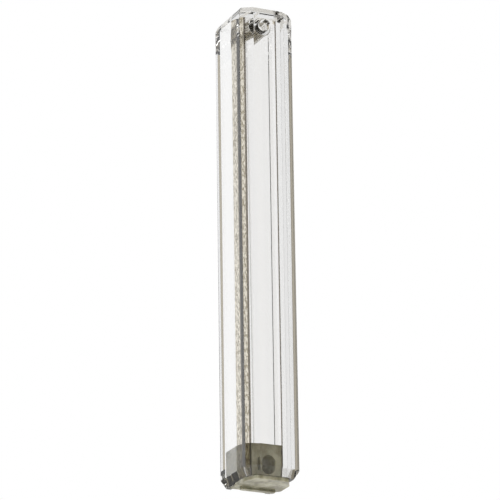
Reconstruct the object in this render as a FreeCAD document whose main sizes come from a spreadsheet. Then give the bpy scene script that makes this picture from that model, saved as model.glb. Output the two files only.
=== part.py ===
import FreeCAD, Part
import os

import Sketcher

# A clear moulded mezuzah case with a silicone stopper in its open lower end.
# Millimetres. The origin is on the flat back face, halfway up the case.
# +Z points up along the case, the front faces -Y, and X runs across the width.

doc = FreeCAD.newDocument("mezuzah_case")
Vector = FreeCAD.Vector

# ---------------------------------------------------------------- driving sizes
SIZES = [
    ("case_length", 120.0, "overall length of the clear case"),
    ("case_width", 14.2, "width across the two side faces"),
    ("case_depth", 17.2, "depth from the front face to the back face"),
    ("front_cut_width", 3.0, "front corner facet, measured across the width"),
    ("front_cut_depth", 1.75, "front corner facet, measured into the depth"),
    ("back_cut", 1.0, "small facet on the two back corners"),
    ("low_bevel_inset", 1.25, "bevel round the open end, inward"),
    ("low_bevel_height", 2.0, "bevel round the open end, along the length"),
    ("top_bevel_inset", 0.7, "bevel round the closed end, inward"),
    ("top_bevel_height", 1.4, "bevel round the closed end, along the length"),
    ("cavity_width", 11.0, "width of the scroll cavity"),
    ("cavity_cut", 1.9, "45 degree facets on the cavity's two front corners"),
    ("cavity_round", 0.6, "radius that softens the ends of those facets"),
    ("cavity_corner", 1.0, "radius of the cavity's two back corners"),
    ("front_wall", 6.0, "thickness of the solid clear front wall"),
    ("back_wall", 2.1, "thickness of the back wall"),
    ("top_wall", 1.4, "thickness of the closed end"),
    ("notch_width", 9.0, "notch in the back wall at the open end"),
    ("notch_height", 0.6, "height of that notch"),
    ("boss_radius", 2.2, "outer radius of the tube round the upper pin hole"),
    ("boss_drop", 3.5, "upper pin axis below the closed end"),
    ("top_pin_radius", 1.6, "radius of the upper pin hole"),
    ("top_pin_depth", 13.5, "depth of the upper pin hole from the back face"),
    ("low_pin_radius", 1.75, "radius of the lower pin hole"),
    ("low_pin_rise", 4.1, "lower pin axis above the open end"),
    ("plug_rise", 8.6, "how far the stopper reaches into the cavity"),
    ("plug_gap", 0.05, "clearance between the stopper and the cavity walls"),
    ("seat_gap", 0.02, "clearance between the stopper's flange and the case"),
    ("flange_width", 12.0, "stopper flange across the width"),
    ("flange_depth", 9.6, "stopper flange into the depth"),
    ("flange_setback", 1.6, "flange behind the plane of the front face"),
    ("flange_thickness", 0.85, "thickness of the flange"),
    ("flange_cut_width", 1.9, "flange front corner facet, across the width"),
    ("flange_cut_depth", 3.6, "flange front corner facet, into the depth"),
    ("flange_back_cut", 1.0, "45 degree facets on the flange's back corners"),
    ("ridge_width", 8.9, "grip ridge under the flange's back edge"),
    ("ridge_depth", 1.5, "grip ridge, measured into the depth"),
    ("ridge_height", 0.5, "how far the grip ridge stands below the flange"),
]
DERIVED = [
    ("low_end", "=-case_length / 2", "height of the open end"),
    ("high_end", "=case_length / 2", "height of the closed end"),
    ("facet_span", "=sqrt(front_cut_width ^ 2 + front_cut_depth ^ 2)", "facet length"),
    ("front_miter", "=(facet_span - front_cut_width) / front_cut_depth", "inset factor"),
    ("side_miter", "=(facet_span - front_cut_depth) / front_cut_width", "inset factor"),
    ("even_miter", "=sqrt(2) - 1", "inset factor of a 45 degree corner"),
    ("boss_start", "=back_wall / 2", "where the boss begins inside the back wall"),
    ("boss_span", "=case_depth - boss_start - front_wall / 2", "length of the boss"),
    ("flange_front", "=-case_depth + flange_setback", "front edge of the flange"),
    ("flange_back", "=flange_front + flange_depth", "back edge of the flange"),
]

sheet = doc.addObject("Spreadsheet::Sheet", "Sizes")
for row, (alias, value, note) in enumerate(SIZES + DERIVED, start=1):
    sheet.set("A%d" % row, alias)
    sheet.set("B%d" % row, str(value))
    sheet.set("C%d" % row, note)
    sheet.setAlias("B%d" % row, alias)
doc.recompute()


def size(text):
    """An expression over sheet aliases, with every alias pointed at the sheet."""
    words = []
    word = ""
    for letter in text + " ":
        if letter.isalnum() or letter == "_":
            word += letter
            continue
        if word and not word[0].isdigit() and word != "sqrt":
            word = "Sizes." + word
        words.append(word + letter)
        word = ""
    return "".join(words).strip()


# ---------------------------------------------------------------- sketch helpers
def origin_plane(body, role):
    for feature in body.Origin.OriginFeatures:
        if feature.Role == role:
            return feature
    raise RuntimeError("no plane " + role)


def new_body(name):
    body = doc.addObject("PartDesign::Body", name)
    body.Label = name
    return body


def new_sketch(body, name, role, offset):
    """A sketch on one of the body's origin planes, moved along the plane's normal."""
    sketch = body.newObject("Sketcher::SketchObject", name)
    sketch.AttachmentSupport = [(origin_plane(body, role), "")]
    sketch.MapMode = "FlatFace"
    sketch.setExpression("AttachmentOffset.Base.z", size(offset))
    return sketch


def value_of(text):
    """The present value of an expression, used only to place sketch geometry."""
    sheet.set("E1", "=" + text)
    sheet.recompute()
    return float(sheet.E1)


def bind_point(sketch, geometry, point, across, along):
    """Fixes one sketch point at two sheet expressions, measured from the origin."""
    for kind, text in (("DistanceX", across), ("DistanceY", along)):
        rule = Sketcher.Constraint(kind, -1, 1, geometry, point, value_of(text))
        index = sketch.addConstraint(rule)
        sketch.setExpression("Constraints[%d]" % index, size(text))


def polygon(sketch, corners):
    """A closed outline whose corners are pairs of sheet expressions."""
    points = [Vector(value_of(x), value_of(y), 0) for x, y in corners]
    count = len(points)
    for i in range(count):
        sketch.addGeometry(Part.LineSegment(points[i], points[(i + 1) % count]), False)
    for i in range(count):
        sketch.addConstraint(Sketcher.Constraint("Coincident", i, 2, (i + 1) % count, 1))
    for i, (x, y) in enumerate(corners):
        bind_point(sketch, i, 1, x, y)


def circle(sketch, across, along, radius):
    """A circle placed and sized by sheet expressions."""
    centre = Vector(value_of(across), value_of(along), 0)
    index = sketch.addGeometry(Part.Circle(centre, Vector(0, 0, 1), value_of(radius)), False)
    bind_point(sketch, index, 3, across, along)
    rule = Sketcher.Constraint("Radius", index, value_of(radius))
    rule_index = sketch.addConstraint(rule)
    sketch.setExpression("Constraints[%d]" % rule_index, size(radius))


def mirrored(right):
    """A closed outline from its right half, given front to back."""
    left = [("-(%s)" % x, y) for x, y in reversed(right)]
    return right + left


def facet_outline(inset):
    """The case's eight-sided outline, moved inward by an expression."""
    side = "case_width / 2 - (%s)" % inset
    front = "-case_depth + (%s)" % inset
    back = "-(%s)" % inset
    front_x = "case_width / 2 - front_cut_width - (%s) * front_miter" % inset
    side_y = "-case_depth + front_cut_depth + (%s) * side_miter" % inset
    back_x = "case_width / 2 - back_cut - (%s) * even_miter" % inset
    back_y = "-back_cut - (%s) * even_miter" % inset
    return mirrored([(front_x, front), (side, side_y), (side, back_y), (back_x, back)])


def cavity_outline(inset):
    """The cavity's outline with cut front corners, moved inward by an expression."""
    side = "cavity_width / 2 - (%s)" % inset
    front = "-case_depth + front_wall + (%s)" % inset
    back = "-back_wall - (%s)" % inset
    front_x = "cavity_width / 2 - cavity_cut - (%s) * even_miter" % inset
    side_y = "-case_depth + front_wall + cavity_cut + (%s) * even_miter" % inset
    return mirrored([(front_x, front), (side, side_y), (side, back)])


def flange_outline():
    """The flange, a rectangle with cut corners."""
    side = "flange_width / 2"
    return mirrored([
        ("%s - flange_cut_width" % side, "flange_front"),
        (side, "flange_front + flange_cut_depth"),
        (side, "flange_back - flange_back_cut"),
        ("%s - flange_back_cut" % side, "flange_back"),
    ])


def rectangle(width, low, high):
    """A rectangle of the given width, centred on the middle plane."""
    return mirrored([("%s / 2" % width, low), ("%s / 2" % width, high)])


def pad(body, name, sketch, length, reverse):
    feature = body.newObject("PartDesign::Pad", name)
    feature.Profile = sketch
    feature.setExpression("Length", size(length))
    feature.Reversed = reverse
    doc.recompute()
    return feature


def pocket(body, name, sketch, length, reverse):
    """A pocket that must remove material."""
    before = body.Shape.Volume
    feature = body.newObject("PartDesign::Pocket", name)
    feature.Profile = sketch
    feature.setExpression("Length", size(length))
    feature.Reversed = reverse
    doc.recompute()
    if body.Shape.Volume > before - 1.0:
        raise RuntimeError(name + " removed nothing")
    return feature


def loft(body, name, first, second):
    feature = body.newObject("PartDesign::AdditiveLoft", name)
    feature.Profile = first
    feature.Sections = [second]
    feature.Ruled = True
    doc.recompute()
    return feature


def upright_edges(shape, across, along):
    """Names of the straight upright edges at one place and at its mirror image."""
    x = value_of(across)
    y = value_of(along)
    near = 1e-4
    names = []
    for index, edge in enumerate(shape.Edges, start=1):
        first = edge.Vertexes[0].Point
        last = edge.Vertexes[-1].Point
        upright = abs(first.x - last.x) < near and abs(first.y - last.y) < near
        if upright and abs(abs(first.x) - x) < near and abs(first.y - y) < near:
            names.append("Edge%d" % index)
    return names


def facet_edges(shape, inset):
    """Names of the upright edges at the ends of the cavity's front facets."""
    front_x = "cavity_width / 2 - cavity_cut - (%s) * even_miter" % inset
    front_y = "-case_depth + front_wall + (%s)" % inset
    side_x = "cavity_width / 2 - (%s)" % inset
    side_y = "-case_depth + front_wall + cavity_cut + (%s) * even_miter" % inset
    return upright_edges(shape, front_x, front_y) + upright_edges(shape, side_x, side_y)


def fillet(body, name, base, edges, radius):
    feature = body.newObject("PartDesign::Fillet", name)
    feature.Base = (base, edges)
    feature.setExpression("Radius", size(radius))
    doc.recompute()
    return feature


# ---------------------------------------------------------------- clear case
# A bevel may not be deeper than the back corner facets can follow.
for inset in ("low_bevel_inset", "top_bevel_inset"):
    if value_of("back_cut * sqrt(2) - 2 * even_miter * %s" % inset) <= 0:
        raise RuntimeError(inset + " turns the back corner facets inside out")

case = new_body("case_body")
full_low = new_sketch(case, "outline_low", "XY_Plane", "low_end + low_bevel_height")
polygon(full_low, facet_outline("0"))
trunk_length = "case_length - low_bevel_height - top_bevel_height"
pad(case, "trunk", full_low, trunk_length, False)

full_high = new_sketch(case, "outline_high", "XY_Plane", "high_end - top_bevel_height")
polygon(full_high, facet_outline("0"))
tip_high = new_sketch(case, "outline_top", "XY_Plane", "high_end")
polygon(tip_high, facet_outline("top_bevel_inset"))
loft(case, "top_bevel", full_high, tip_high)

start_low = new_sketch(case, "outline_bevel", "XY_Plane", "low_end + low_bevel_height")
polygon(start_low, facet_outline("0"))
tip_low = new_sketch(case, "outline_bottom", "XY_Plane", "low_end")
polygon(tip_low, facet_outline("low_bevel_inset"))
loft(case, "bottom_bevel", start_low, tip_low)

# The scroll cavity, open at the lower end.
cavity_sketch = new_sketch(case, "cavity_outline", "XY_Plane", "low_end")
polygon(cavity_sketch, cavity_outline("0"))
cavity = pocket(case, "cavity", cavity_sketch, "case_length - top_wall", True)
edges = upright_edges(cavity.Shape, "cavity_width / 2", "-back_wall")
back_round = fillet(case, "cavity_corners", cavity, edges, "cavity_corner")
edges = facet_edges(back_round.Shape, "0")
fillet(case, "cavity_facets", back_round, edges, "cavity_round")

# The tube that carries the upper pin hole across the cavity.
boss_sketch = new_sketch(case, "boss_outline", "XZ_Plane", "boss_start")
circle(boss_sketch, "0", "high_end - boss_drop", "boss_radius")
pad(case, "boss", boss_sketch, "boss_span", False)

# Both pin holes are entered from the back face and stop short of the front face.
top_pin_sketch = new_sketch(case, "top_pin_outline", "XZ_Plane", "0")
circle(top_pin_sketch, "0", "high_end - boss_drop", "top_pin_radius")
pocket(case, "top_pin_hole", top_pin_sketch, "top_pin_depth", True)
low_pin_sketch = new_sketch(case, "low_pin_outline", "XZ_Plane", "0")
circle(low_pin_sketch, "0", "low_end + low_pin_rise", "low_pin_radius")
pocket(case, "low_pin_hole", low_pin_sketch, "back_wall", True)

# A shallow notch where the back wall meets the open end.
notch_sketch = new_sketch(case, "notch_outline", "XZ_Plane", "0")
polygon(notch_sketch, rectangle("notch_width", "low_end", "low_end + notch_height"))
pocket(case, "back_notch", notch_sketch, "back_wall", True)

# ---------------------------------------------------------------- stopper
stopper = new_body("stopper")
plug_sketch = new_sketch(stopper, "plug_outline", "XY_Plane", "low_end - seat_gap")
polygon(plug_sketch, cavity_outline("plug_gap"))
plug = pad(stopper, "plug", plug_sketch, "plug_rise + seat_gap", False)
edges = upright_edges(plug.Shape, "cavity_width / 2 - plug_gap", "-back_wall - plug_gap")
plug_round = fillet(stopper, "plug_corners", plug, edges, "cavity_corner - plug_gap")
edges = facet_edges(plug_round.Shape, "plug_gap")
fillet(stopper, "plug_facets", plug_round, edges, "cavity_round - plug_gap")

flange_sketch = new_sketch(stopper, "flange_shape", "XY_Plane", "low_end - seat_gap")
polygon(flange_sketch, flange_outline())
pad(stopper, "flange", flange_sketch, "flange_thickness", True)

ridge_level = "low_end - seat_gap - flange_thickness"
ridge_sketch = new_sketch(stopper, "ridge_outline", "XY_Plane", ridge_level)
polygon(ridge_sketch, rectangle("ridge_width", "flange_back - ridge_depth", "flange_back"))
pad(stopper, "grip_ridge", ridge_sketch, "ridge_height", True)

plug_hole_sketch = new_sketch(stopper, "plug_hole_outline", "XZ_Plane", "0")
circle(plug_hole_sketch, "0", "low_end + low_pin_rise", "low_pin_radius")
pocket(stopper, "plug_hole", plug_hole_sketch, "case_depth", True)

# ---------------------------------------------------------------- checks and export
doc.recompute()
for item in doc.Objects:
    if "Invalid" in item.State or "Error" in item.State:
        raise RuntimeError(item.Name + " has an error: " + str(item.State))
    if item.isDerivedFrom("PartDesign::Feature"):
        if item.Shape.isNull() or not item.Shape.isValid():
            raise RuntimeError(item.Name + " has no valid shape")

os.makedirs("parts", exist_ok=True)
for body in (case, stopper):
    if len(body.Shape.Solids) != 1:
        raise RuntimeError(body.Label + " is not one solid")
    body.Shape.exportStep("parts/%s.step" % body.Label)
    print(body.Label, body.Shape.BoundBox, round(body.Shape.Volume, 1))
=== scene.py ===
import bmesh
import bpy
import math
from mathutils import Matrix, Vector


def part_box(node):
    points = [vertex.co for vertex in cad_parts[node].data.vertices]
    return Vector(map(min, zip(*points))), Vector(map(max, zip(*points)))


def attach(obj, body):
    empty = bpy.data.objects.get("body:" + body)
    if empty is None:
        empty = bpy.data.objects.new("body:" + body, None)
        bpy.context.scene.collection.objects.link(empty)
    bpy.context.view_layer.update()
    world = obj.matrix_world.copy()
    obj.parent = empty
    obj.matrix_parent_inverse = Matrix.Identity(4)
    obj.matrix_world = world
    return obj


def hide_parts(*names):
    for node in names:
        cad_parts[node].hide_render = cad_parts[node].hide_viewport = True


# A clear moulded mezuzah case with a grey silicone stopper, in metres.
# The frame is the CAD's: back face on Y = 0, front towards -Y, +Z up the case.

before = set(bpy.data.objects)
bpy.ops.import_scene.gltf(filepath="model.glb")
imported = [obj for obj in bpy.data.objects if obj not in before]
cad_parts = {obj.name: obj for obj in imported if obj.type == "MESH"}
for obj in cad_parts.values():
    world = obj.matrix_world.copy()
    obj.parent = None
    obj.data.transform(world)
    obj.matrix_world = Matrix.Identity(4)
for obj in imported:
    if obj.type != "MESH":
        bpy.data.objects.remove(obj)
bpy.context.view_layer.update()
MM = 0.001
WELD = 0.0002 * MM

# ------------------------------------------------------------------ sizes
case_low, case_high = (Vector(corner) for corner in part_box("case_body"))
LOW_END = case_low.z
HIGH_END = case_high.z
FRONT = case_low.y
HALF_WIDTH = case_high.x

FRONT_CUT = (3.0 * MM, 1.75 * MM)
BACK_CUT = 1.0 * MM
LOW_BEVEL = (1.25 * MM, 2.0 * MM)
TOP_BEVEL = (0.7 * MM, 1.4 * MM)
OUTER_ROUND = 0.3 * MM
EDGE_SOFTNESS = 0.2 * MM

CAVITY_HALF = 5.5 * MM
CAVITY_CUT = (1.9 * MM, 1.9 * MM)
CAVITY_CORNER = 1.0 * MM
CAVITY_ROUND = 0.6 * MM
CAVITY_SOFTNESS = 0.25 * MM
FRONT_WALL = 6.0 * MM
BACK_WALL = 2.1 * MM
TOP_WALL = 1.4 * MM
NOTCH = (4.5 * MM, 0.6 * MM)

BOSS_RADIUS = 2.2 * MM
BOSS_HEIGHT = HIGH_END - 3.5 * MM
BOSS_FLARE = 0.3 * MM
FLARE_STEPS = 6
TOP_PIN = (1.6 * MM, 13.5 * MM)
TOP_PIN_CHAMFER = 0.15 * MM
LOW_PIN_RADIUS = 1.75 * MM
LOW_PIN_HEIGHT = LOW_END + 4.1 * MM

stop_low, stop_high = (Vector(corner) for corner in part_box("stopper"))
PLUG_GAP = 0.05 * MM
SEAT_GAP = 0.02 * MM
PLUG_TOP = stop_high.z
FLANGE_HALF = stop_high.x
FLANGE_FRONT = stop_low.y
FLANGE_BACK = FLANGE_FRONT + 9.6 * MM
FLANGE_TOP = LOW_END - SEAT_GAP
FLANGE_LOW = FLANGE_TOP - 0.85 * MM
FLANGE_CUT = (1.9 * MM, 3.6 * MM)
FLANGE_BACK_CUT = 1.0 * MM
FLANGE_ROUND = 0.4 * MM
RIDGE = (4.45 * MM, 1.5 * MM)
RIDGE_ROUND = 0.3 * MM

# Cutting tools reach this far past a face, and joined pieces this far into each other.
OVERSHOOT = 1.0 * MM
OVERLAP = 0.3 * MM


# ------------------------------------------------------------------ mesh helpers
def rounded(corners, radius, steps=5):
    """The same outline with each corner (x, y) or (x, y, its own radius) rounded."""
    points = []
    count = len(corners)
    for i, corner in enumerate(corners):
        own = corner[2] if len(corner) > 2 else radius
        here = Vector(corner[:2])
        back = (Vector(corners[i - 1][:2]) - here).normalized()
        ahead = (Vector(corners[(i + 1) % count][:2]) - here).normalized()
        half = math.acos(max(-1.0, min(1.0, back.dot(ahead)))) / 2
        centre = here + (back + ahead).normalized() * (own / math.sin(half))
        start = here + back * (own / math.tan(half)) - centre
        end = here + ahead * (own / math.tan(half)) - centre
        turn = start.angle_signed(end)
        for step in range(steps + 1):
            arm = start.copy()
            arm.rotate(Matrix.Rotation(-turn * step / steps, 2))
            points.append(centre + arm)
    return points


def loft(name, sections, soften=0.0, skip=()):
    """A closed solid through outlines of equal point count, given as (outline, z)."""
    mesh = bmesh.new()
    rings = [[mesh.verts.new((p[0], p[1], z)) for p in outline] for outline, z in sections]
    for lower, upper in zip(rings, rings[1:]):
        for i in range(len(lower)):
            j = (i + 1) % len(lower)
            mesh.faces.new((lower[i], lower[j], upper[j], upper[i]))
    mesh.faces.new(tuple(reversed(rings[0])))
    mesh.faces.new(rings[-1])
    if soften:
        edges = []
        for level, ring in enumerate(rings):
            if level in skip:
                continue
            for i in range(len(ring)):
                edges.append(mesh.edges.get((ring[i], ring[(i + 1) % len(ring)])))
        bmesh.ops.bevel(
            mesh, geom=edges, offset=soften, offset_type="OFFSET", segments=4,
            profile=0.5, affect="EDGES", clamp_overlap=True,
        )
    bmesh.ops.recalc_face_normals(mesh, faces=mesh.faces)
    return link(name, mesh)


def lathe_y(name, profile, height, steps=96):
    """A solid of revolution about a line along Y at X = 0; profile holds (y, radius)."""
    mesh = bmesh.new()
    rings = []
    for y, radius in profile:
        ring = []
        for i in range(steps):
            angle = 2 * math.pi * i / steps
            ring.append(mesh.verts.new((
                radius * math.cos(angle), y, height + radius * math.sin(angle),
            )))
        rings.append(ring)
    for first, second in zip(rings, rings[1:]):
        for i in range(steps):
            j = (i + 1) % steps
            mesh.faces.new((first[i], first[j], second[j], second[i]))
    mesh.faces.new(rings[0])
    mesh.faces.new(rings[-1])
    bmesh.ops.recalc_face_normals(mesh, faces=mesh.faces)
    return link(name, mesh)


def link(name, mesh):
    data = bpy.data.meshes.new(name)
    mesh.to_mesh(data)
    mesh.free()
    thing = bpy.data.objects.new(name, data)
    bpy.context.scene.collection.objects.link(thing)
    return thing


def combine(target, steps):
    """Applies boolean steps, given as (operation, object), and removes the tools."""
    for operation, tool in steps:
        modifier = target.modifiers.new(operation.lower(), "BOOLEAN")
        modifier.operation = operation
        modifier.object = tool
        modifier.solver = "EXACT"
    settle(target)
    for operation, tool in steps:
        bpy.data.objects.remove(tool, do_unlink=True)


def settle(thing):
    """Turns an object's modifiers into plain mesh, and welds the slivers they leave."""
    graph = bpy.context.evaluated_depsgraph_get()
    done = bpy.data.meshes.new_from_object(thing.evaluated_get(graph))
    thing.modifiers.clear()
    mesh = bmesh.new()
    mesh.from_mesh(done)
    bmesh.ops.remove_doubles(mesh, verts=mesh.verts, dist=WELD)
    bmesh.ops.dissolve_degenerate(mesh, edges=mesh.edges, dist=WELD)
    mesh.to_mesh(done)
    mesh.free()
    thing.data = done


# ------------------------------------------------------------------ clear case
def cut_miters(cut):
    """How far a cut corner's two points slide for each unit of inset."""
    across, along = cut
    span = math.hypot(across, along)
    return (span - across) / along, (span - along) / across


def case_outline(inset):
    """The eight-sided outline of the case, moved inward."""
    front_miter, side_miter = cut_miters(FRONT_CUT)
    back_miter, back_side_miter = cut_miters((BACK_CUT, BACK_CUT))
    side = HALF_WIDTH - inset
    right = [
        (HALF_WIDTH - FRONT_CUT[0] - inset * front_miter, FRONT + inset),
        (side, FRONT + FRONT_CUT[1] + inset * side_miter),
        (side, -BACK_CUT - inset * back_side_miter),
        (HALF_WIDTH - BACK_CUT - inset * back_miter, -inset),
    ]
    return right + [(-x, y) for x, y in reversed(right)]


def cavity_outline(inset):
    """The cavity with cut front corners and round back corners, moved inward."""
    front_miter, side_miter = cut_miters(CAVITY_CUT)
    front = FRONT + FRONT_WALL
    side = CAVITY_HALF - inset
    right = [
        (CAVITY_HALF - CAVITY_CUT[0] - inset * front_miter, front + inset, CAVITY_ROUND - inset),
        (side, front + CAVITY_CUT[1] + inset * side_miter, CAVITY_ROUND - inset),
        (side, -BACK_WALL - inset, CAVITY_CORNER - inset),
    ]
    return right + [(-x, y, radius) for x, y, radius in reversed(right)]


def boss_profile():
    """The tube across the cavity, with a small flare where it meets each wall."""
    back = -BACK_WALL
    front = FRONT + FRONT_WALL
    profile = [(back + OVERSHOOT, BOSS_RADIUS + BOSS_FLARE)]
    for wall, side in ((back, -1), (front, 1)):
        arc = []
        for step in range(FLARE_STEPS + 1):
            angle = math.pi / 2 * step / FLARE_STEPS
            y = wall + side * BOSS_FLARE * (1 - math.cos(angle))
            radius = BOSS_RADIUS + BOSS_FLARE * (1 - math.sin(angle))
            arc.append((y, radius))
        profile += arc if side < 0 else list(reversed(arc))
    profile.append((front - OVERSHOOT, BOSS_RADIUS + BOSS_FLARE))
    return profile


def build_case():
    """The clear moulding: shell, cavity, boss, pin holes and notch."""
    low_inset, low_rise = LOW_BEVEL
    top_inset, top_drop = TOP_BEVEL
    body = loft("case_shell", [
        (rounded(case_outline(low_inset), OUTER_ROUND), LOW_END),
        (rounded(case_outline(0), OUTER_ROUND), LOW_END + low_rise),
        (rounded(case_outline(0), OUTER_ROUND), HIGH_END - top_drop),
        (rounded(case_outline(top_inset), OUTER_ROUND), HIGH_END),
    ], soften=EDGE_SOFTNESS)
    cavity_shape = rounded(cavity_outline(0), CAVITY_ROUND)
    cavity = loft("cavity_tool", [
        (cavity_shape, LOW_END - OVERSHOOT),
        (cavity_shape, HIGH_END - TOP_WALL),
    ], soften=CAVITY_SOFTNESS, skip=(0,))
    boss = lathe_y("boss_tool", boss_profile(), BOSS_HEIGHT)
    pin_radius, pin_depth = TOP_PIN
    top_pin = lathe_y("top_pin_tool", [
        (OVERSHOOT, pin_radius),
        (-pin_depth + TOP_PIN_CHAMFER, pin_radius),
        (-pin_depth, pin_radius - TOP_PIN_CHAMFER),
    ], BOSS_HEIGHT)
    low_pin = lathe_y("low_pin_tool", [
        (OVERSHOOT, LOW_PIN_RADIUS),
        (-BACK_WALL - OVERLAP, LOW_PIN_RADIUS),
    ], LOW_PIN_HEIGHT)
    notch_half, notch_rise = NOTCH
    notch_shape = [
        (notch_half, -BACK_WALL - OVERLAP), (notch_half, OVERSHOOT),
        (-notch_half, OVERSHOOT), (-notch_half, -BACK_WALL - OVERLAP),
    ]
    notch = loft("notch_tool", [
        (notch_shape, LOW_END - OVERSHOOT),
        (notch_shape, LOW_END + notch_rise),
    ])
    combine(body, [
        ("DIFFERENCE", cavity),
        ("UNION", boss),
        ("DIFFERENCE", top_pin),
        ("DIFFERENCE", low_pin),
        ("DIFFERENCE", notch),
    ])
    return body


# ------------------------------------------------------------------ stopper
def build_stopper():
    """The silicone stopper: plug, flange, grip ridge and cross hole."""
    plug_shape = rounded(cavity_outline(PLUG_GAP), CAVITY_ROUND)
    plug = loft("stopper_soft", [
        (plug_shape, FLANGE_TOP),
        (plug_shape, PLUG_TOP),
    ], soften=CAVITY_SOFTNESS, skip=(0,))
    cut_x, cut_y = FLANGE_CUT
    right = [
        (FLANGE_HALF - cut_x, FLANGE_FRONT),
        (FLANGE_HALF, FLANGE_FRONT + cut_y),
        (FLANGE_HALF, FLANGE_BACK - FLANGE_BACK_CUT),
        (FLANGE_HALF - FLANGE_BACK_CUT, FLANGE_BACK),
    ]
    shape = rounded(right + [(-x, y) for x, y in reversed(right)], FLANGE_ROUND)
    flange = loft("flange_tool", [
        (shape, FLANGE_LOW), (shape, FLANGE_TOP),
    ], soften=EDGE_SOFTNESS)
    half, depth = RIDGE
    ridge_shape = rounded([
        (half, FLANGE_BACK - depth), (half, FLANGE_BACK),
        (-half, FLANGE_BACK), (-half, FLANGE_BACK - depth),
    ], RIDGE_ROUND)
    ridge = loft("ridge_tool", [
        (ridge_shape, stop_low.z), (ridge_shape, FLANGE_LOW + OVERLAP),
    ], soften=EDGE_SOFTNESS, skip=(1,))
    hole = lathe_y("hole_tool", [
        (OVERSHOOT, LOW_PIN_RADIUS), (FRONT, LOW_PIN_RADIUS),
    ], LOW_PIN_HEIGHT)
    combine(plug, [("UNION", flange), ("UNION", ridge), ("DIFFERENCE", hole)])
    return plug


# ------------------------------------------------------------------ materials
PLASTIC_TINT = (0.84, 0.84, 0.84)
PLASTIC_DENSITY = 72.0
# Painted tan and dark speckle on the cavity's front facets stands in for refracted light and
# shade; the near-black line at their front corners is painted shade.
FACET_PAINTED_TAN = (0.78, 0.70, 0.54)
FACET_PAINTED_SHADE = (0.20, 0.165, 0.10)
CORNER_PAINTED_SHADE = (0.05, 0.04, 0.03)
CORNER_SHADE_WIDTH = 0.30 * MM
FACET_PAINT_NOISE = (3000, (1, 1, 0.35))
BOSS_STREAK_NOISE = (1300, (1, 0.05, 1))
PLASTIC_IOR = 1.49
MARK_ROUGHNESS = 0.22
# Painted olive streaks on the tube stand in for its reflections and shade.
BOSS_PAINTED_STREAK = (0.18, 0.155, 0.10)
SILICONE_DARK = (0.22, 0.21, 0.145)
SILICONE_LIGHT = (0.50, 0.49, 0.38)
SILICONE_IOR = 1.41
SILICONE_CLOUD = (260, (1, 1, 0.6))
SILICONE_WAVE = (320, (1, 0.5, 1))
WAVE_HEIGHT = 0.8 * MM


def new_material(name):
    material = bpy.data.materials.new(name)
    material.use_nodes = True
    return material, material.node_tree.nodes, material.node_tree.links


def math_node(nodes, links, operation, *values):
    """A math node fed by numbers or by other nodes' outputs."""
    node = nodes.new("ShaderNodeMath")
    node.operation = operation
    for index, value in enumerate(values):
        if isinstance(value, (int, float)):
            node.inputs[index].default_value = value
        else:
            links.new(value, node.inputs[index])
    return node.outputs[0]


def range_node(nodes, links, value, low, high, to_low=0.0, to_high=1.0):
    """Maps a value smoothly from one range to another, and clamps it."""
    node = nodes.new("ShaderNodeMapRange")
    node.interpolation_type = "SMOOTHSTEP"
    node.inputs["From Min"].default_value = low
    node.inputs["From Max"].default_value = high
    node.inputs["To Min"].default_value = to_low
    node.inputs["To Max"].default_value = to_high
    links.new(value, node.inputs["Value"])
    return node.outputs[0]


def noise_node(nodes, links, vector, scale, stretch):
    """Noise on object coordinates, stretched along each axis."""
    mapping = nodes.new("ShaderNodeMapping")
    mapping.inputs["Scale"].default_value = stretch
    links.new(vector, mapping.inputs["Vector"])
    texture = nodes.new("ShaderNodeTexNoise")
    texture.inputs["Scale"].default_value = scale
    texture.inputs["Detail"].default_value = 4
    links.new(mapping.outputs[0], texture.inputs["Vector"])
    return texture.outputs[0]


def mix_colour(nodes, links, factor, first, second):
    node = nodes.new("ShaderNodeMix")
    node.data_type = "RGBA"
    links.new(factor, node.inputs["Factor"])
    for slot, value in ((6, first), (7, second)):
        if isinstance(value, tuple):
            node.inputs[slot].default_value = (*value, 1)
        else:
            links.new(value, node.inputs[slot])
    return node.outputs[2]


def near_upright(nodes, links, split, x, y, radius):
    """A mask round the upright lines at (x, y) and (-x, y)."""
    side = math_node(nodes, links, "ABSOLUTE", split.outputs["X"])
    across = math_node(nodes, links, "SUBTRACT", side, x)
    along = math_node(nodes, links, "SUBTRACT", split.outputs["Y"], y)
    square = math_node(nodes, links, "MULTIPLY", along, along)
    total = math_node(nodes, links, "MULTIPLY_ADD", across, across, square)
    distance = math_node(nodes, links, "SQRT", total)
    return range_node(nodes, links, distance, radius * 0.8, radius, 1.0, 0.0)


def painted_facet_tones(nodes, links, split, where):
    """Painted tan and dark speckle on the cavity's two front facets, standing in for refracted
    light and shade, and painted shade at their dark ends; the mask also makes them rough.
    """
    middle_x = CAVITY_HALF - CAVITY_CUT[0] / 2
    middle_y = FRONT + FRONT_WALL + CAVITY_CUT[1] / 2
    reach = 0.5 * math.hypot(*CAVITY_CUT)
    facet = near_upright(nodes, links, split, middle_x, middle_y, reach)
    corner_x = CAVITY_HALF - CAVITY_CUT[0]
    corner = near_upright(nodes, links, split, corner_x, FRONT + FRONT_WALL, CORNER_SHADE_WIDTH)
    speckle = noise_node(nodes, links, where, *FACET_PAINT_NOISE)
    paint_speckle = range_node(nodes, links, speckle, 0.40, 0.60)
    # Painted tones: tan and dark speckle standing in for refracted light and shade.
    tan = mix_colour(nodes, links, paint_speckle, FACET_PAINTED_TAN, FACET_PAINTED_SHADE)
    tint = mix_colour(nodes, links, facet, (1.0, 1.0, 1.0), tan)
    # Painted shade: a near-black line along the facets' front corners.
    tint = mix_colour(nodes, links, corner, tint, CORNER_PAINTED_SHADE)
    return tint, math_node(nodes, links, "MAXIMUM", facet, corner)


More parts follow.
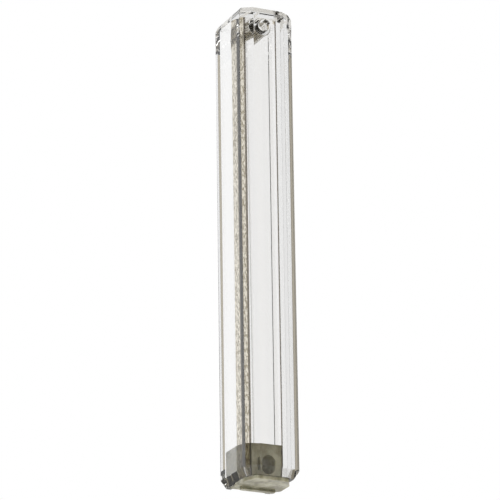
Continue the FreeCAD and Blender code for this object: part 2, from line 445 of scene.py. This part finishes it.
def boss_painted_streaks(nodes, links, split, where):
    """Painted olive streaks along the tube inside the cavity, standing in for the tube's
    reflections and shade, clear of the outer faces.
    """
    high = math_node(nodes, links, "SUBTRACT", split.outputs["Z"], BOSS_HEIGHT)
    squares = math_node(nodes, links, "MULTIPLY", high, high)
    reach = math_node(
        nodes, links, "MULTIPLY_ADD", split.outputs["X"], split.outputs["X"], squares,
    )
    far = math_node(nodes, links, "SQRT", reach)
    ring = range_node(nodes, links, far, BOSS_RADIUS + 0.1 * MM, BOSS_RADIUS + 0.4 * MM, 1.0, 0.0)
    depth = split.outputs["Y"]
    front = FRONT + FRONT_WALL
    behind = range_node(nodes, links, depth, front + 0.1 * MM, front + 0.5 * MM)
    before = range_node(nodes, links, depth, -BACK_WALL - 0.5 * MM, -BACK_WALL, 1.0, 0.0)
    streaks = noise_node(nodes, links, where, *BOSS_STREAK_NOISE)
    streak = range_node(nodes, links, streaks, 0.42, 0.60, 0.15, 1.0)
    inside = math_node(nodes, links, "MULTIPLY", behind, before)
    tube = math_node(nodes, links, "MULTIPLY", ring, inside)
    return math_node(nodes, links, "MULTIPLY", tube, streak)


def clear_plastic():
    """Clear plastic with a faint warm body tint, rough patches inside, and painted light and
    shade on those patches.
    """
    material, nodes, links = new_material("clear_plastic")
    shader = nodes["Principled BSDF"]
    shader.inputs["Transmission Weight"].default_value = 1.0
    shader.inputs["IOR"].default_value = PLASTIC_IOR
    where = nodes.new("ShaderNodeTexCoord").outputs["Object"]
    split = nodes.new("ShaderNodeSeparateXYZ")
    links.new(where, split.inputs[0])
    # The facet tones and the corner line are painted light and shade on rough patches.
    tint, marks = painted_facet_tones(nodes, links, split, where)
    tube = boss_painted_streaks(nodes, links, split, where)
    # Painted shade and reflection: olive streaks along the tube.
    tint = mix_colour(nodes, links, tube, tint, BOSS_PAINTED_STREAK)
    links.new(tint, shader.inputs["Base Color"])
    rough = math_node(nodes, links, "MAXIMUM", marks, tube)
    roughness = range_node(nodes, links, rough, 0.0, 1.0, 0.0, MARK_ROUGHNESS)
    links.new(roughness, shader.inputs["Roughness"])
    inside = nodes.new("ShaderNodeVolumeAbsorption")
    inside.inputs["Color"].default_value = (*PLASTIC_TINT, 1)
    inside.inputs["Density"].default_value = PLASTIC_DENSITY
    links.new(inside.outputs[0], nodes["Material Output"].inputs["Volume"])
    return material


def grey_silicone():
    """Translucent olive-grey silicone: cloudy inside, with a faintly wavy skin."""
    material, nodes, links = new_material("grey_silicone")
    shader = nodes["Principled BSDF"]
    where = nodes.new("ShaderNodeTexCoord").outputs["Object"]
    cloud = noise_node(nodes, links, where, *SILICONE_CLOUD)
    cloudy = range_node(nodes, links, cloud, 0.35, 0.65)
    links.new(
        mix_colour(nodes, links, cloudy, SILICONE_DARK, SILICONE_LIGHT),
        shader.inputs["Base Color"],
    )
    shader.inputs["Roughness"].default_value = 0.14
    shader.inputs["IOR"].default_value = SILICONE_IOR
    shader.inputs["Transmission Weight"].default_value = 0.1
    shader.inputs["Subsurface Weight"].default_value = 0.5
    shader.inputs["Subsurface Radius"].default_value = (1.0, 0.9, 0.7)
    shader.inputs["Subsurface Scale"].default_value = 1.0 * MM
    waves = noise_node(nodes, links, where, *SILICONE_WAVE)
    bump = nodes.new("ShaderNodeBump")
    bump.inputs["Strength"].default_value = 0.9
    bump.inputs["Distance"].default_value = WAVE_HEIGHT
    links.new(waves, bump.inputs["Height"])
    links.new(bump.outputs[0], shader.inputs["Normal"])
    return material


# ------------------------------------------------------------------ camera angle
AZIMUTH = math.radians(25.08)
ELEVATION = math.radians(19.58)
ROLL = math.radians(0.87)


# ------------------------------------------------------------------ studio
BACKDROP = (1.0, 1.0, 1.0)
ROOM = (0.50, 0.45, 0.35)
BACKDROP_INNER = math.radians(60)
BACKDROP_OUTER = math.radians(100)
SIDE_CARD = (0.015, 0.015, 0.015)
CARD_INNER = math.radians(8)
CARD_OUTER = math.radians(22)
CEILING = (0.20, 0.175, 0.12)
CEILING_START = math.radians(30)
CEILING_FULL = math.radians(42)
FLOOR_SIDE = (0.86, 0.86, 0.86)
FLOOR_START = math.radians(6)
FLOOR_FULL = math.radians(-4)
FLOOR_SIZE = 80.0
FLOOR_HEIGHT = -1.2
LIGHT_STRENGTH = 2.3
LIGHT_SPREAD = math.radians(60)
LIGHT_TILT = math.radians(35)


def along_compass(nodes, links, where, bearing):
    """Cosine of the compass angle between a direction and a bearing."""
    flat = nodes.new("ShaderNodeVectorMath")
    flat.operation = "MULTIPLY"
    flat.inputs[1].default_value = (1, 1, 0)
    links.new(where, flat.inputs[0])
    level = nodes.new("ShaderNodeVectorMath")
    level.operation = "NORMALIZE"
    links.new(flat.outputs[0], level.inputs[0])
    part = nodes.new("ShaderNodeVectorMath")
    part.operation = "DOT_PRODUCT"
    part.inputs[1].default_value = (math.sin(bearing), math.cos(bearing), 0)
    links.new(level.outputs[0], part.inputs[0])
    return part.outputs["Value"]


def build_room():
    """A white backdrop, a warm room behind the camera, a dark card at each side."""
    world = bpy.data.worlds.new("studio")
    bpy.context.scene.world = world
    world.use_nodes = True
    nodes = world.node_tree.nodes
    links = world.node_tree.links
    where = nodes.new("ShaderNodeTexCoord").outputs["Generated"]
    split = nodes.new("ShaderNodeSeparateXYZ")
    links.new(where, split.inputs[0])
    height = split.outputs["Z"]
    ahead = along_compass(nodes, links, where, AZIMUTH)
    across = along_compass(nodes, links, where, AZIMUTH + math.pi / 2)
    side = math_node(nodes, links, "ABSOLUTE", across)
    backdrop = range_node(
        nodes, links, ahead, math.cos(BACKDROP_OUTER), math.cos(BACKDROP_INNER),
    )
    card = range_node(nodes, links, side, math.cos(CARD_OUTER), math.cos(CARD_INNER))
    ceiling = range_node(nodes, links, height, math.sin(CEILING_START), math.sin(CEILING_FULL))
    floor = range_node(
        nodes, links, height, math.sin(FLOOR_FULL), math.sin(FLOOR_START), 1.0, 0.0,
    )
    colour = mix_colour(nodes, links, backdrop, ROOM, BACKDROP)
    colour = mix_colour(nodes, links, card, colour, SIDE_CARD)
    colour = mix_colour(nodes, links, ceiling, colour, CEILING)
    colour = mix_colour(nodes, links, floor, colour, FLOOR_SIDE)
    links.new(colour, nodes["Background"].inputs["Color"])


def build_light():
    """A broad soft light from above and in front."""
    light = bpy.data.lights.new("soft_light", "SUN")
    light.energy = LIGHT_STRENGTH
    light.angle = LIGHT_SPREAD
    lamp = bpy.data.objects.new("soft_light", light)
    lamp.rotation_euler = (LIGHT_TILT, 0, -AZIMUTH)
    bpy.context.scene.collection.objects.link(lamp)


def build_floor():
    bpy.ops.mesh.primitive_plane_add(size=FLOOR_SIZE, location=(0, 0, FLOOR_HEIGHT))
    floor = bpy.context.object
    floor.name = "floor"
    material, nodes, links = new_material("pale_floor")
    shader = nodes["Principled BSDF"]
    shader.inputs["Base Color"].default_value = (0.9, 0.9, 0.9, 1)
    shader.inputs["Roughness"].default_value = 0.8
    floor.data.materials.append(material)


# ------------------------------------------------------------------ camera
EYE = Vector((-0.3743, -0.8083, -0.3141))
LENS = 276.2
SHIFT_X = -0.014
SHIFT_Y = -0.0048


def build_camera():
    forward = Vector((
        math.sin(AZIMUTH) * math.cos(ELEVATION),
        math.cos(AZIMUTH) * math.cos(ELEVATION),
        math.sin(ELEVATION),
    ))
    level = Vector((math.cos(AZIMUTH), -math.sin(AZIMUTH), 0.0))
    rise = level.cross(forward)
    right = level * math.cos(ROLL) - rise * math.sin(ROLL)
    up = level * math.sin(ROLL) + rise * math.cos(ROLL)
    camera = bpy.data.objects.new("camera", bpy.data.cameras.new("camera"))
    bpy.context.scene.collection.objects.link(camera)
    turn = Matrix((right, up, -forward)).transposed().to_4x4()
    camera.matrix_world = Matrix.Translation(EYE) @ turn
    camera.data.sensor_width = 36.0
    camera.data.lens = LENS
    camera.data.shift_x = SHIFT_X
    camera.data.shift_y = SHIFT_Y
    camera.data.clip_end = 100
    bpy.context.scene.camera = camera


# ------------------------------------------------------------------ assembly
case_shell = build_case()
case_shell.data.materials.append(clear_plastic())
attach(case_shell, "case")
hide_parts("case_body")

stopper_soft = build_stopper()
stopper_soft.data.materials.append(grey_silicone())
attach(stopper_soft, "stopper")
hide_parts("stopper")

build_room()
build_light()
build_floor()
build_camera()
bpy.context.scene.view_settings.view_transform = "Standard"
